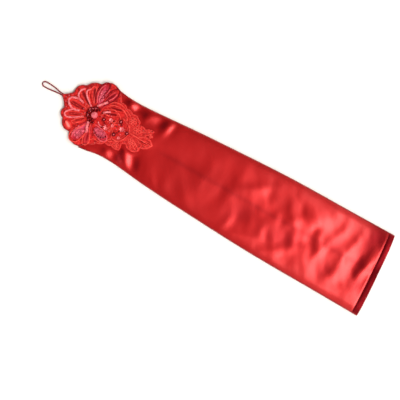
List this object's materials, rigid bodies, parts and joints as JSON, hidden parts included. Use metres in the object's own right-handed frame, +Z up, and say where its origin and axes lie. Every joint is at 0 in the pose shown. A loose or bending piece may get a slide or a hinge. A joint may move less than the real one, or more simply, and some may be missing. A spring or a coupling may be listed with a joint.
{
  "type": "fingerless evening glove",
  "caption": "Long fingerless satin glove lying flat, with a beaded scalloped lace panel over the back of the hand, a finger loop at its point and a hemmed sleeve.",
  "frame": {"origin": "middle of the underside of the glove as it lies flat, without the finger loop", "axes": "+X from the fingers to the upper arm, +Y across the glove, +Z up from the palm side to the back of the hand"},
  "size_m": [0.5045, 0.115, 0.017],
  "materials": {
    "satin": "shiny red satin",
    "lace": "matte red embroidered net",
    "embroidery": "silky pink-red thread over padding",
    "dark_bead": "glossy dark red",
    "pearl": "pink pearl",
    "sequin": "pearly pink",
    "cord": "twisted dark red cord"
  },
  "bodies": {
    "root": {"sleeve": "satin", "lace_panel": "lace", "petal_tip": "embroidery", "petal_near_front": "embroidery", "petal_near_short": "embroidery", "petal_near_wide": "embroidery", "petal_near_back": "embroidery", "petal_far_front": "embroidery", "petal_far_middle": "embroidery", "petal_far_wide": "embroidery", "petal_far_back": "embroidery", "leaf_near": "embroidery", "leaf_far_inner": "embroidery", "leaf_far_outer": "embroidery", "boss_near": "embroidery", "leaf_tail": "embroidery", "pearl": "pearl", "ring_bead_1": "dark_bead", "ring_bead_2": "dark_bead", "ring_bead_3": "dark_bead", "ring_bead_4": "dark_bead", "ring_bead_5": "dark_bead", "ring_bead_6": "dark_bead", "ring_bead_7": "dark_bead", "ring_bead_8": "dark_bead", "ring_bead_9": "dark_bead", "ring_bead_10": "dark_bead", "bead_inner": "dark_bead", "bead_far": "dark_bead", "bead_near": "dark_bead", "bead_tail": "dark_bead", "sequin_flower": "sequin", "sequin_far": "sequin", "sequin_near": "sequin", "sequin_middle": "sequin", "sequin_side": "sequin", "finger_loop": "cord"}
  },
  "joints": []
}
